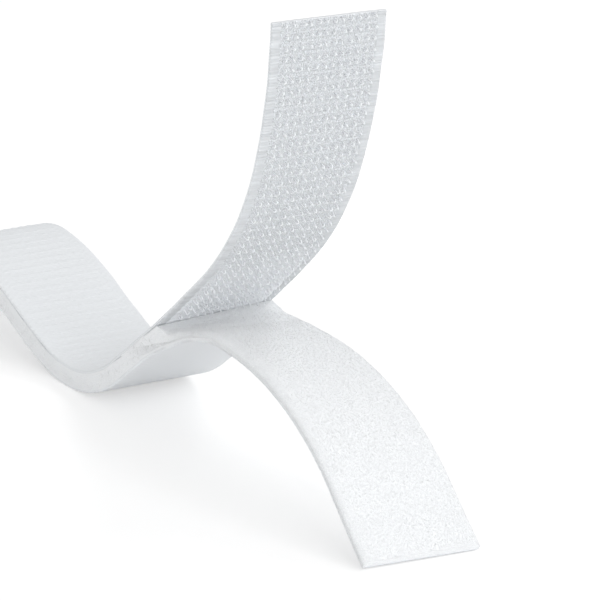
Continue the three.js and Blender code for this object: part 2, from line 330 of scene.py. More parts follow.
def walk(start, stretches, step=WALK_STEP):
    """Frames along stretches given in metres and degrees, and their distances from the start."""
    frames = [start]
    along = [0.0]
    for length, bend, twist in stretches:
        count = max(1, round(abs(length) / step))
        half = tilt(bend / count / 2) @ roll_over(twist / count / 2)
        advance = half @ shift(length / count, 0, 0) @ half
        for _ in range(count):
            frames.append(frames[-1] @ advance)
            along.append(along[-1] + abs(length) / count)
    return frames, np.array(along)


def in_metres(stretches):
    return [(length * MM, bend, twist) for length, bend, twist in stretches]


def total(stretches):
    return sum(length for length, _, _ in stretches) * MM


class Line:
    """A strip's own line: frames by distance along it, X along the tape, Y across, Z out of its top."""

    def __init__(self, along, frames):
        self.along = np.array(along)
        self.values = np.array(frames)[:, :3, :].reshape(-1, 12)

    def at(self, along):
        found = [np.interp(along, self.along, column) for column in self.values.T]
        return np.stack(found, axis=-1).reshape(np.shape(along) + (3, 4))

    def place(self, along, across, height):
        """Points at these distances along the strip, across it and out of its line."""
        found = self.at(along)
        across, height = np.asarray(across)[..., None], np.asarray(height)[..., None]
        return found[..., 3] + across * found[..., 1] + height * found[..., 2]


class Tape:
    """The lines of the two strips' plain backs, and where along them each bend and cut lies."""

    def __init__(self, sizes):
        self.mated = 2 * sizes.ground + sizes.caught
        start = shift(-LEAD / 2 * MM, 0, self.mated / 2)
        slope = -sum(bend for _, bend, _ in CREST + DIP)
        rise = (RISE_LENGTH, slope, 0)
        gained = walk(np.eye(4), in_metres([rise]))[0][-1][2, 3]
        drop = -walk(tilt(slope), in_metres(CREST + DIP))[0][-1][2, 3]
        straight = (drop - gained) / math.sin(math.radians(slope)) / MM
        band_way = [rise, (straight, 0, 0)] + CREST
        way = [(LEAD, 0, 0)] + band_way + DIP + CLIMB
        frames, along = walk(start, in_metres(way))
        wound, wound_along = walk(start, self.turns(), step=1.0)
        middle = wound[:0:-1] + frames
        middle_along = np.concatenate([-wound_along[:0:-1], along])
        self.start = middle_along[0]
        self.lead_bend = LEAD * MM
        self.dip_bend = self.lead_bend + total(band_way)
        self.peel = along[-1]
        self.hook_bend = self.peel + total(HOOK_TAIL)
        self.loop_bend = self.peel + total(LOOP_CREST)
        self.loop_end_bend = self.loop_bend + total(LOOP_TAIL)
        self.hook = self.strip(middle, middle_along, self.mated / 2, HOOK_TAIL + HOOK_END)
        self.loop = self.strip(middle, middle_along, -self.mated / 2, LOOP_CREST + LOOP_TAIL + LOOP_END)
        self.hook_tip = self.hook.along[-1]
        self.loop_tip = self.loop.along[-1]
        self.dip = self.dip_bend + total(DIP)

    def turns(self):
        """The wound turns, walked back from the lead: the radius falls by one pitch in each turn."""
        pitch = self.mated + WINDING_GAP
        outer = CORE_RADIUS + CORE_SEAT + self.mated / 2 + TURNS * pitch
        step = 360 / STEPS_PER_TURN
        chord = 2 * math.sin(math.radians(step / 2))
        radii = [outer - pitch * (i + 0.5) / STEPS_PER_TURN for i in range(TURNS * STEPS_PER_TURN)]
        return [(-radius * chord, -step, 0) for radius in radii]

    def strip(self, middle, along, out, tail):
        backs = [back @ shift(0, 0, out) for back in middle]
        tail_frames, tail_along = walk(backs[-1], in_metres(tail))
        return Line(np.concatenate([along, along[-1] + tail_along[1:]]), backs + tail_frames[1:])

    def spans(self, strip):
        """Stretches of a strip that are one piece each: name, from, to and the bend in it."""
        lead_cut = self.lead_bend / 2
        band_cut = (self.lead_bend + self.dip_bend) / 2
        fold_cut = (self.dip_bend + self.peel) / 2
        if strip == "hook":
            cut = (self.peel + self.hook_bend) / 2
            free = [("peel", fold_cut, cut, "hook_peel"), ("tip", cut, self.hook_tip, "hook_bend")]
        else:
            cut = (self.loop_bend + self.loop_end_bend) / 2
            free = [("fall", fold_cut, cut, "loop_bend"), ("tip", cut, self.loop_tip, "loop_end_bend")]
        return [
            ("roll", self.start, lead_cut, None),
            ("lead", lead_cut, band_cut, "lead_bend"),
            ("dip", band_cut, fold_cut, "dip_bend"),
            *free,
        ]


def ride_or_bend(piece, tape, line, bend):
    """The piece rides on the roll, or else has its place baked into its mesh; the reach of the bend in its
    stretch is found but not used.
    """
    if bend is None:
        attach(piece, "roll")
        return
    middle = getattr(tape, "peel" if bend == "hook_peel" else bend)
    before, after = BEND_SPREAD[bend]
    start, end = (line.at(middle + reach * MM)[:, 3] for reach in (-before, after))
    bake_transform(piece)


# Meshes
def make_mesh(name, points, quads, triangles, material, places=None):
    """A new smooth object from points and faces, with the tape's own places as a UV map."""
    mesh = bpy.data.meshes.new(name)
    mesh.vertices.add(len(points))
    mesh.vertices.foreach_set("co", np.ascontiguousarray(points, np.float32).ravel())
    corners = np.concatenate([quads.ravel(), triangles.ravel()]).astype(np.int32)
    first = np.concatenate([4 * np.arange(len(quads)), quads.size + 3 * np.arange(len(triangles))])
    mesh.loops.add(len(corners))
    mesh.loops.foreach_set("vertex_index", corners)
    mesh.polygons.add(len(first))
    mesh.polygons.foreach_set("loop_start", first.astype(np.int32))
    mesh.update(calc_edges=True)
    mesh.shade_smooth()
    if places is not None:
        layer = mesh.uv_layers.new(name="tape")
        layer.uv.foreach_set("vector", np.ascontiguousarray(places[corners], np.float32).ravel())
    mesh.materials.append(material)
    piece = bpy.data.objects.new(name, mesh)
    bpy.context.scene.collection.objects.link(piece)
    return piece


NO_TRIANGLES = np.zeros((0, 3), np.int32)


def strip_mesh(name, top, bottom, material, along, across):
    """A closed strip between two grids of points, rows along the tape and columns across it."""
    rows, columns = top.shape[:2]
    ring = 2 * columns
    points = np.concatenate([top, bottom[:, ::-1]], axis=1).reshape(-1, 3)
    places = np.stack(np.broadcast_arrays(along, across), axis=-1)
    places = np.concatenate([places, places[:, ::-1]], axis=1).reshape(-1, 2)
    index = np.arange(rows * ring).reshape(rows, ring)
    after = np.roll(index, -1, axis=1)
    walls = np.stack([index[:-1], index[1:], after[1:], after[:-1]], axis=-1).reshape(-1, 4)
    upper, lower = index[:, :columns], index[:, ::-1][:, :columns]
    cap = np.stack([upper[:, :-1], upper[:, 1:], lower[:, 1:], lower[:, :-1]], axis=-1)
    quads = np.concatenate([walls, cap[0], cap[-1][:, ::-1]])
    return make_mesh(name, points, quads, NO_TRIANGLES, material, places)


def unit(vectors):
    return vectors / np.maximum(np.linalg.norm(vectors, axis=-1, keepdims=True), 1e-12)


def tube_mesh(name, bundles, sides, *materials):
    """Closed tubes. bundles is a list of (paths, radii), with paths counted by tube, ring and axis.

    The first bundle takes the first material, and the others the last one.
    """
    points, quads, triangles, base = [], [], [], 0
    angles = 2 * np.pi * np.arange(sides) / sides
    for paths, radii in bundles:
        count, rings = paths.shape[:2]
        tangent = unit(np.gradient(paths, axis=1))
        middle = paths[:, rings // 2]
        across = unit(np.cross(middle - paths[:, 0], paths[:, -1] - middle))[:, None]
        first = unit(np.cross(tangent, across))
        second = np.cross(tangent, first)
        spread = np.cos(angles)[:, None] * first[:, :, None] + np.sin(angles)[:, None] * second[:, :, None]
        rounds = paths[:, :, None] + np.broadcast_to(radii, (count, rings))[..., None, None] * spread
        index = base + np.arange(count * rings * sides).reshape(count, rings, sides)
        after = np.roll(index, -1, axis=2)
        walls = np.stack([index[:, :-1], after[:, :-1], after[:, 1:], index[:, 1:]], axis=-1)
        caps = []
        for k in range(1, sides - 1):
            caps += [index[:, 0][:, [0, k + 1, k]], index[:, -1][:, [0, k, k + 1]]]
        points.append(rounds.reshape(-1, 3))
        quads.append(walls.reshape(-1, 4))
        triangles.append(np.concatenate(caps))
        base += index.size
    points, all_quads, all_triangles = (np.concatenate(parts) for parts in (points, quads, triangles))
    piece = make_mesh(name, points, all_quads, all_triangles, materials[0])
    if len(materials) > 1:
        piece.data.materials.append(materials[-1])
        later = [np.full(len(part), k > 0) for parts in (quads, triangles) for k, part in enumerate(parts)]
        piece.data.polygons.foreach_set("material_index", np.concatenate(later).astype(np.int32))
    return piece


def lumps(along, across, size, seed):
    """Smooth bumps from -1 to 1, about size apart."""
    count = 64
    lattice = np.random.default_rng(seed).uniform(-1, 1, (count, count))
    u, v = along / size, across / size
    i, j = np.floor(u).astype(int), np.floor(v).astype(int)
    a, b = u - i, v - j
    a, b = a * a * (3 - 2 * a), b * b * (3 - 2 * b)
    i, j, next_i, next_j = i % count, j % count, (i + 1) % count, (j + 1) % count
    low = lattice[i, j] * (1 - a) + lattice[next_i, j] * a
    high = lattice[i, next_j] * (1 - a) + lattice[next_i, next_j] * a
    return low * (1 - b) + high * b


# Materials
def feed(tree, socket, value):
    """Links a socket to another one, or sets its own value."""
    if isinstance(value, bpy.types.NodeSocket):
        tree.links.new(value, socket)
    else:
        socket.default_value = value


def maths(tree, operation, *values):
    node = tree.nodes.new("ShaderNodeMath")
    node.operation = operation
    for socket, value in zip(node.inputs, values):
        feed(tree, socket, value)
    return node.outputs[0]


def noise(tree, vector, scale, detail):
    node = tree.nodes.new("ShaderNodeTexNoise")
    for label, value in (("Vector", vector), ("Scale", scale), ("Detail", detail)):
        feed(tree, node.inputs[label], value)
    return node.outputs["Fac"]


def set_values(node, values):
    for label, value in values.items():
        node.inputs[label].default_value = value


def mottle_group():
    """Soft uneven lightness of fibres or stitches, at two scales: a height and a shade, both about 0.5."""
    if "Mottle" in bpy.data.node_groups:
        return bpy.data.node_groups["Mottle"]
    group = bpy.data.node_groups.new("Mottle", "ShaderNodeTree")
    group.interface.new_socket(name="Place", in_out="INPUT", socket_type="NodeSocketVector")
    for label, way in (("Coarse", "INPUT"), ("Fine", "INPUT"), ("Height", "OUTPUT"), ("Shade", "OUTPUT")):
        group.interface.new_socket(name=label, in_out=way, socket_type="NodeSocketFloat")
    given = group.nodes.new("NodeGroupInput").outputs
    result = group.nodes.new("NodeGroupOutput").inputs
    coarse = noise(group, given["Place"], given["Coarse"], 3)
    fine = noise(group, given["Place"], given["Fine"], 2)
    feed(group, result["Height"], fine)
    both = maths(group, "ADD", maths(group, "MULTIPLY", coarse, 0.6), maths(group, "MULTIPLY", fine, 0.4))
    feed(group, result["Shade"], both)
    return group


def texture_place(tree, stretch):
    """The stretched place on the tape or, with no stretch, the place in the object's own space."""
    if stretch is None:
        return tree.nodes.new("ShaderNodeTexCoord").outputs["Object"]
    source = tree.nodes.new("ShaderNodeUVMap")
    source.uv_map = "tape"
    scale = tree.nodes.new("ShaderNodeVectorMath")
    scale.operation = "MULTIPLY"
    scale.inputs[1].default_value = (*stretch, 1)
    feed(tree, scale.inputs[0], source.outputs["UV"])
    return scale.outputs[0]


def slot_material(slot):
    """The frame's plain material of a slot, with the values set beside its colour."""
    material = bpy.data.materials[slot]
    set_values(material.node_tree.nodes["Principled BSDF"], SLOT_VALUES[slot])
    return material


def mottled_material(name, colour):
    """A principled material whose lightness and bump come from the mottle group."""
    if name in bpy.data.materials:
        return bpy.data.materials[name]
    shades, (coarse, fine), stretch, bump, roughness, others = FINISHES[name]
    material = bpy.data.materials.new(name)
    material.use_nodes = True
    tree = material.node_tree
    shader = tree.nodes["Principled BSDF"]
    set_values(shader, {"Roughness": roughness, **others})
    texture = tree.nodes.new("ShaderNodeGroup")
    texture.node_tree = mottle_group()
    set_values(texture, {"Coarse": coarse, "Fine": fine})
    feed(tree, texture.inputs["Place"], texture_place(tree, stretch))
    ramp = tree.nodes.new("ShaderNodeValToRGB")
    for element, position, shade in zip(ramp.color_ramp.elements, RAMP_ENDS, shades):
        element.position = position
        element.color = [min(1, c * shade) for c in colour] + [1]
    feed(tree, ramp.inputs[0], texture.outputs["Shade"])
    feed(tree, shader.inputs["Base Color"], ramp.outputs[0])
    relief = tree.nodes.new("ShaderNodeBump")
    set_values(relief, {"Strength": BUMP_STRENGTH, "Distance": bump})
    feed(tree, relief.inputs["Height"], texture.outputs["Height"])
    feed(tree, shader.inputs["Normal"], relief.outputs[0])
    return material


def hook_face_material(colour, lint_and_painted_light, lint_and_painted_light_end):
    """Fine stitches between the hooks in painted shade, lightened near the place where the strips part by
    pulled fibres and painted light.
    """
    material = mottled_material("shaded_hook_face", colour)
    tree = material.node_tree
    place = next(node for node in tree.nodes if node.type == "UVMAP")
    base = tree.nodes["Principled BSDF"].inputs["Base Color"]
    parts = tree.nodes.new("ShaderNodeSeparateXYZ")
    feed(tree, parts.inputs[0], place.outputs["UV"])
    share = tree.nodes.new("ShaderNodeMapRange")
    painted_light_fade = {"From Min": lint_and_painted_light_end - LINT_AND_PAINTED_LIGHT_FADE, "From Max": lint_and_painted_light_end, "To Min": LINT_AND_PAINTED_LIGHT_COVER, "To Max": 0}
    set_values(share, painted_light_fade)
    feed(tree, share.inputs["Value"], parts.outputs["X"])
    # Mix towards the felt's colour near the mouth: pulled fibres, and painted light where the mouth lies in
    # shade
    lint_and_painted_light_mix = tree.nodes.new("ShaderNodeMix")
    lint_and_painted_light_mix.data_type = "RGBA"
    lint_and_painted_light_mix.inputs["B"].default_value = list(lint_and_painted_light) + [1]
    feed(tree, lint_and_painted_light_mix.inputs["Factor"], share.outputs["Result"])
    feed(tree, lint_and_painted_light_mix.inputs["A"], base.links[0].from_socket)
    feed(tree, base, lint_and_painted_light_mix.outputs["Result"])
    return material


# Woven grounds
def fineness(label):
    return ROLL_MESH if label == "roll" else SHOWN_MESH


def field_half(sizes):
    """Half the width of the field of hooks, between the bare edges."""
    return sizes.width / 2 - sizes.selvedge


def ground_columns(sizes, count):
    """Places across a ground and the share of its half thickness there, round at both edges."""
    half, edge = sizes.width / 2, sizes.ground / 2
    inner = np.linspace(-(half - edge), half - edge, count)
    beside = field_half(sizes) + np.array([-0.2, 0, 0.2]) * MM
    inner = np.sort(np.concatenate([inner, -beside, beside]))
    turn = np.radians([30, 55, 75])
    across = half - edge + edge * np.sin(turn)
    across = np.concatenate([-across[::-1], inner, across])
    share = np.concatenate([np.cos(turn)[::-1], np.ones(len(inner)), np.cos(turn)])
    return across, share


def ground_rows(tape, sizes, start, end, samples):
    """Distances along a ground: fine where it shows, a few millimetres apart in the inner turns."""
    outer_turn = -2 * np.pi * (CORE_RADIUS + (TURNS + 1) * (tape.mated + WINDING_GAP))
    fine_from = max(start, outer_turn)
    step = sizes.weft_pitch / samples
    fine = np.linspace(fine_from, end, max(2, round((end - fine_from) / step)))
    if start >= outer_turn:
        return fine
    coarse = np.linspace(start, fine_from, max(2, round((fine_from - start) / INNER_STEP)))
    return np.concatenate([coarse[:-1], fine])


def plain_weave(along, across, sizes):
    """Weft ribs crossed by warp yarns."""
    weft = np.cos(2 * np.pi * along / sizes.weft_pitch)
    cross_over = np.cos(np.pi * along / sizes.weft_pitch) * np.cos(np.pi * across / WARP_PITCH)
    return sizes.weave_relief * (0.2 * weft + 0.8 * cross_over)


def selvedge_ribs(along, across, sizes):
    """Round weft ribs in the bare edges, with uneven narrow grooves between them."""
    side = np.sign(across) * 40 * MM
    phase = along / sizes.weft_pitch + 0.3 * lumps(along, side, 2.5 * MM, 5)
    rib = 2 * np.abs(np.cos(np.pi * phase)) - 1
    return sizes.selvedge_relief * rib * (0.55 + 0.45 * lumps(along, side, 0.7 * MM, 6))


def weave_ground(name, tape, strip, span, sizes, faces, finishes):
    """One piece of a woven ground between its low and high face. One with three finishes carries hooks."""
    label, start, end, _ = span
    fine = fineness(label)
    across, share = ground_columns(sizes, fine[strip])
    along = ground_rows(tape, sizes, start, end, fine["rib"])[:, None]
    hooked = len(finishes) == 3
    top_relief = low_relief = plain_weave(along, across, sizes)
    if hooked:
        top_relief = top_relief + anchor_relief(along, across, tape, sizes)
        bare = np.abs(across) > field_half(sizes)
        low_relief = np.where(bare, selvedge_ribs(along, across, sizes), low_relief)
        low_relief = low_relief - selvedge_groove(along, across, tape, sizes)
        low_relief = low_relief - row_groove(along, across, tape, sizes)
    middle, thick = (faces[0] + faces[1]) / 2, (faces[1] - faces[0]) / 2
    edge = np.sign(across) * (np.abs(across) > sizes.width / 2 - sizes.ground)
    scallop = EDGE_SCALLOP * np.cos(2 * np.pi * along / sizes.weft_pitch)
    across = across + edge * (scallop + EDGE_WAVE * lumps(along, 0 * along, 4 * MM, 3))
    line = getattr(tape, strip)
    top = line.place(along, across, middle + share * thick + top_relief * share)
    bottom = line.place(along, across, middle - share * thick - low_relief * share)
    piece = strip_mesh(name, top, bottom, finishes[0], along, across)
    if hooked:
        paint_hook_face(piece, sizes, across, finishes[1:])
    return piece


def paint_hook_face(piece, sizes, across, finishes):
    """Gives the hook side its own finishes, painted darker than the back as shade: the field of hooks and
    the bare edges.
    """
    rows, columns = across.shape
    low = across[0, ::-1]
    bare = np.abs((low[:-1] + low[1:]) / 2) > field_half(sizes)
    ring = np.concatenate([np.zeros(columns, np.int32), np.where(bare, 2, 1), [0]])
    index = np.zeros(len(piece.data.polygons), np.int32)
    index[: ring.size * (rows - 1)] = np.tile(ring, rows - 1)
    for finish in finishes:
        piece.data.materials.append(finish)
    piece.data.polygons.foreach_set("material_index", index)


def row_wave(along, tape, sizes, shift_by=0):
    """A wave along the hook strip, one for each row of hooks."""
    return np.cos(2 * np.pi * (along - tape.hook_tip + shift_by) / sizes.hook_row_pitch)


def anchor_relief(along, across, tape, sizes):
    """Low bumps on the hook strip's back where each hook's filament passes under it."""
    inside = np.clip((field_half(sizes) - np.abs(across)) / MM, 0, 1)
    column = np.cos(2 * np.pi * across / hook_column_pitch(sizes))
    row = np.clip(row_wave(along, tape, sizes), 0, 1)
    return inside * ANCHOR_BUMP * row * (0.55 + 0.45 * column)


def row_groove(along, across, tape, sizes):
    """The sunk ground between two rows of hooks."""
    inside = np.abs(across) < field_half(sizes)
    return inside * ROW_GROOVE * np.clip(-row_wave(along, tape, sizes, FIRST_ROW), 0, 1) ** 3


def selvedge_groove(along, across, tape, sizes):
    """The groove between the bare edge and the hooks, uneven by the rows."""
    away = np.abs(np.abs(across) - field_half(sizes)) / SELVEDGE_GROOVE_WIDTH
    return SELVEDGE_GROOVE * np.exp(-(away**2)) * (0.5 + 0.5 * row_wave(along, tape, sizes))


def weave_strip(strip, tape, sizes, faces, finishes):
    """Weaves the ground of one strip, a piece for each stretch."""
    for span in tape.spans(strip):
        label, start, end, bend = span
        piece = weave_ground(f"{strip}_ground_{label}", tape, strip, span, sizes, faces, finishes)
        ride_or_bend(piece, tape, getattr(tape, strip), bend)
        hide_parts(f"{strip}_ground_{NODES[label]}")


def hook_column_pitch(sizes):
    return 2 * field_half(sizes) / sizes.hook_columns


# Hooks
def hook_paths(tape, sizes, start, end, seed):
    """Filaments of the hooks in the rows from start to end: bows, legs and the stubs of cut legs."""
    random = np.random.default_rng(seed)
    rows = np.arange(tape.hook_tip - FIRST_ROW, start, -sizes.hook_row_pitch)
    rows = rows[rows < end]
    pitch = hook_column_pitch(sizes)
    columns = (np.arange(sizes.hook_columns) - (sizes.hook_columns - 1) / 2) * pitch
    base_along, base_across = (grid.ravel()[:, None] for grid in np.meshgrid(rows, columns, indexing="ij"))
    lean = np.tile(np.where(np.arange(sizes.hook_columns) % 2 == 0, 1, -1), len(rows))[:, None]
    count = len(base_along)
    base_along = base_along + random.normal(0, HOOK_SCATTER[0], (count, 1))
    base_across = base_across + random.normal(0, HOOK_SCATTER[1], (count, 1))
    height = sizes.hook_height * random.normal(1, 0.05, (count, 1))
    sway = random.normal(0, 0.12, (count, 1))
    skew = HOOK_SKEW + random.normal(0, 0.15, (count, 1))
    bow = sizes.hook_bow
    bow_run = bow * np.cos(HOOK_ARC)
    bow_rise = height - bow + bow * np.sin(HOOK_ARC)
    leg_run = np.concatenate([[-bow, -bow], bow_run[:2]])
    legs = np.broadcast_to([HOOK_FOOT, LEG_TOP], (count, 2))
    leg_rise = np.concatenate([legs, bow_rise[:, :2]], axis=1)
    stub_run = np.array([bow, bow, bow * 1.04])
    stub_rise = np.broadcast_to([HOOK_FOOT, *STUB], (count, 3))

    def placed(run, rise):
        along = base_along + lean * run * np.cos(skew)
        across = base_across + run * np.sin(skew) + sway * rise
        return tape.hook.place(along, across, -sizes.ground - rise)

    radius = sizes.hook_wire / 2
    taper = np.concatenate([np.full(len(HOOK_ARC) - 2, radius), [0.7 * radius]])
    bows = placed(bow_run[1:], bow_rise[:, 1:]), taper
    return [bows, (placed(leg_run, leg_rise), radius), (placed(stub_run, stub_rise), radius)]


def join_bundles(first, second):
    """One bundle from two with the same radii."""
    return np.concatenate([first[0], second[0]]), first[1]


# Pile
def strip_gap(tape, sizes, along):
    """Clear height between the two grounds, measured out of the loop strip."""
    loop, hook = tape.loop.at(along), tape.hook.at(along)
    return np.sum((hook[..., 3] - loop[..., 3]) * loop[..., 2], axis=-1) - 2 * sizes.ground


def mouth(tape, across):
    """How far along the strips part: a little further at the far edge."""
    return tape.peel + MOUTH + MOUTH_SKEW * across


def past(along, start, reach):
    """The share of a reach that lies before each place: 0 up to its start, 1 from its end on."""
    return np.clip((along - start) / reach, 0, 1)


def felt_height(tape, sizes, along):
    """The matted layer fills the caught zone up to the peel line and falls from there to its own height."""
    left = 1 - past(along, tape.peel, FELT_FALL)
    return sizes.felt_height + (sizes.caught - sizes.felt_height) * left**2.2


def bank_height(tape, sizes, along, across):
    """The bank fills the gap up to the mouth and sinks a little into the hook strip up to its crest."""
    edge = mouth(tape, across)
    low = felt_height(tape, sizes, along)
    held = strip_gap(tape, sizes, np.minimum(along, edge))
    height = low + (held - low) * (1 - past(along, edge, BANK_FALL)) ** 1.3
    crest = edge + BANK_CREST
    left = (1 - past(along, crest, BANK_FRONT)) ** 4
    sunk = 0.3 * sizes.ground * past(along, tape.peel, MM)
    reach = strip_gap(tape, sizes, np.minimum(along, crest)) + sunk
    toe = 0.03 * MM * past(along, edge + BANK_TOE, 2 * MM)
    return height + (reach - height) * left - toe


def felt_half(sizes):
    return sizes.width / 2 - FELT_INSET


def felt_top(tape, sizes, along, across, banked=False):
    """Height of the matted layer or of its bank over the ground, crowned and bumpy where it is free."""
    inside = felt_half(sizes) - np.abs(across)
    flat = np.clip(inside / FELT_SHOULDER, 0, 1)
    crown = SHOULDER_LOW + (1 - SHOULDER_LOW) * np.sqrt(flat * (2 - flat))
    height = bank_height(tape, sizes, along, across) if banked else felt_height(tape, sizes, along)
    pressed = np.clip((height - sizes.felt_height) / (sizes.caught - sizes.felt_height), 0, 1)
    bumps = sum(rise * lumps(along, across, size, seed) for rise, size, seed in FELT_BUMPS)
    return height * (crown * (1 - pressed) + pressed) + bumps * (1 - pressed) + 1.6 * np.minimum(inside, 0)


def felt_rim(sizes, along, across):
    """The side of each column on a rim, how far it laps over a ground, and its uneven place across."""
    rim = np.sign(across) * (np.abs(across) > felt_half(sizes) - 0.01 * MM)
    lap = np.abs(rim) * FELT_LAP * sizes.ground
    return rim, lap, across + rim * (0.04 * MM + 0.01 * MM * lumps(along, rim * 50 * MM, 0.9 * MM, 13))


def felt_columns(sizes, count):
    return np.linspace(-felt_half(sizes), felt_half(sizes), count)


def felt_mesh(name, tape, sizes, along, upper, lower, material):
    """A matted layer between two faces, each given by its places across and heights over the ground."""
    top, bottom = (tape.loop.place(along, across, sizes.ground + rise) for across, rise in (upper, lower))
    piece = strip_mesh(name, top, bottom, material, along, upper[0])
    piece.data.set_sharp_from_angle(angle=SHARP_ANGLE)
    return piece


def felt(name, tape, span, sizes, material):
    """The matted foot of the loops along one stretch of the loop strip."""
    label, start, end, _ = span
    fine = fineness(label)
    along = np.linspace(start, end, round((end - start) / fine["felt_step"]))[:, None]
    across = felt_columns(sizes, fine["felt"])
    top = felt_top(tape, sizes, along, across)
    _, lap, across = felt_rim(sizes, along, across)
    pressed = 1 - past(along, tape.peel - 2 * PRESSED_END, PRESSED_END)
    upper, lower = (across, top + lap * pressed), (across, 0 * top - lap)
    return felt_mesh(name, tape, sizes, along, upper, lower, material)


def bank(name, tape, sizes, material):
    """The loops that the hooks hold up past the peel line, on top of the matted layer."""
    start, end = tape.peel - PRESSED_END, tape.peel + BANK_LENGTH
    along = np.arange(start, end, SHOWN_MESH["felt_step"])[:, None]
    across = felt_columns(sizes, SHOWN_MESH["felt"])
    top = felt_top(tape, sizes, along, across, True)
    foot = np.minimum(felt_top(tape, sizes, along, across), top)
    pressed = 1 - past(along, mouth(tape, across) - PRESSED_END, PRESSED_END)
    rim, lap, across = felt_rim(sizes, along, across)
    foot = foot - np.where(rim == 0, 0.25 * MM, 0.02 * MM)
    upper, lower = (across, top + lap * pressed), (across - 0.01 * MM * rim, foot)
    return felt_mesh(name, tape, sizes, along, upper, lower, material)


def scatter(random, sizes, start, end, per_mm2):
    """Evenly scattered feet on the free face of the pile."""
    half = felt_half(sizes) + 0.05 * MM
    pitch = MM / math.sqrt(per_mm2)
    along, across = np.meshgrid(np.arange(start, end, pitch), np.arange(-half, half, pitch), indexing="ij")
    jitter = random.uniform(0, pitch, (2, along.size, 1))
    return along.reshape(-1, 1) + jitter[0], across.reshape(-1, 1) + jitter[1]


def fibre_radii(random, sizes, count):
    return sizes.fibre / 2 * random.uniform(*FIBRE_SHARE, (count, 1))


def fibre_bundle(random, tape, sizes, along, across, lift, banked):
    """Fibres that follow the matted layer or its bank, lifted from it."""
    limit = sizes.width / 2 + 0.1 * MM
    across = np.clip(across, -limit, limit)
    along = np.minimum(along, tape.loop_tip + 0.15 * MM)
    rise = np.maximum(felt_top(tape, sizes, along, across, banked) + lift, -0.5 * sizes.ground)
    radii = fibre_radii(random, sizes, len(along))
    return tape.loop.place(along, across, sizes.ground + rise), radii


def nap(tape, sizes, start, end, seed, banked=False):
    """Long fibres that lie in waves over the matted layer."""
    random = np.random.default_rng(seed)
    foot_along, foot_across = scatter(random, sizes, start, end, sizes.nap_per_mm2)
    count = len(foot_along)
    t = np.linspace(-0.5, 0.5, 5)
    heading = random.uniform(0, 2 * np.pi, (count, 1)) + random.normal(0, 1.6, (count, 1)) * t
    heading = heading + random.normal(0, 0.6, (count, 1)) * np.sin(4 * np.pi * t)
    step = random.uniform(*NAP_LENGTH, (count, 1)) / len(t)
    along = foot_along + np.cumsum(step * np.cos(heading), axis=1)
    across = foot_across + np.cumsum(step * np.sin(heading), axis=1)
    lift = random.uniform(*FIBRE_LIFT, (count, 1)) * np.cos(np.pi * t) - 0.01 * MM
    return [fibre_bundle(random, tape, sizes, along, across, lift, banked)]


def loops(tape, sizes, start, end, seed, banked=False):
    """Small loops that stand out of the matted layer."""
    random = np.random.default_rng(seed)
    foot_along, foot_across = scatter(random, sizes, start, end, sizes.loops_per_mm2)
    count = len(foot_along)
    t = np.linspace(0, 1, 8)
    way = random.uniform(0, 2 * np.pi, (count, 1))
    span = random.uniform(*LOOP_SPAN, (count, 1))
    bulge = random.uniform(0.05, 0.3, (count, 1))
    run = span * (t - 0.5 - bulge * np.sin(2 * np.pi * t))
    sway = random.normal(0, 0.1 * MM, (count, 1)) * np.sin(np.pi * t)
    along = foot_along + run * np.cos(way) - sway * np.sin(way)
    across = foot_across + run * np.sin(way) + sway * np.cos(way)
    tallest = sizes.pile_height - sizes.felt_height
    lift = random.uniform(0.3, 1.0, (count, 1)) * tallest * np.sin(np.pi * t) ** 0.7 - 0.06 * MM
    return [fibre_bundle(random, tape, sizes, along, across, lift, banked)]


def edge_loops(tape, sizes, start, end, per_mm, seed, banked=False):
    """Fine loops along both edges, over the pile's side and the ground's own edge or the bank's side."""
    random = np.random.default_rng(seed)
    count = int((end - start) / MM * per_mm)
    t = np.linspace(0, 1, 6)
    bundles = []
    for side in (-1, 1):
        foot_along = random.uniform(start, end, (count, 1))
        rim = side * felt_half(sizes)
        highest = felt_top(tape, sizes, foot_along, rim, banked)
        lowest = -0.85 * sizes.ground
        if banked:
            lowest = np.minimum(felt_top(tape, sizes, foot_along, rim), highest)
        foot_rise = random.uniform(lowest, highest, (count, 1))
        way = random.uniform(0, 2 * np.pi, (count, 1)) + random.normal(0, 1, (count, 1)) * t
        step = random.uniform(*EDGE_LENGTH, (count, 1)) / len(t)
        along = foot_along + np.cumsum(step * np.cos(way), axis=1)
        rise = foot_rise + np.cumsum(step * np.sin(way), axis=1)
        rise = np.clip(rise, -0.9 * sizes.ground, highest)
        out = random.uniform(*FIBRE_LIFT, (count, 1)) * np.sin(np.pi * t) + 0.01 * MM
        sunk = np.minimum(rise, 0) / sizes.ground + 0.5
        round_edge = np.where(rise < 0, sizes.ground / 2 * (1 - np.sqrt(np.clip(1 - 4 * sunk**2, 0, 1))), 0)
        across = side * (sizes.width / 2 + out - round_edge)
        along = np.minimum(along, tape.loop_tip + 0.1 * MM)
        radii = fibre_radii(random, sizes, count)
        bundles.append((tape.loop.place(along, across, sizes.ground + rise), radii))
    return bundles


# Operators
class TAPE_OT_stage(Operator):
    """Makes the camera, the pale floor and the soft light"""

    bl_idname = "tape.stage"
    bl_label = "Stage"

    def execute(self, context):
        make_camera(context.scene)
        make_floor(context.scene.tape_colours)
        make_light(context.scene)
        context.scene.view_settings.view_transform = "Standard"
        return {"FINISHED"}


def view_axes(view):
    """Right, up and back of the camera."""
    a, e = view.azimuth, view.elevation
    back = Vector((math.sin(a) * math.cos(e), -math.cos(a) * math.cos(e), math.sin(e)))
    right = Vector((math.cos(a), math.sin(a), 0))
    up = back.cross(right)
    c, s = math.cos(view.lean), math.sin(view.lean)
    return c * right + s * up, c * up - s * right, back


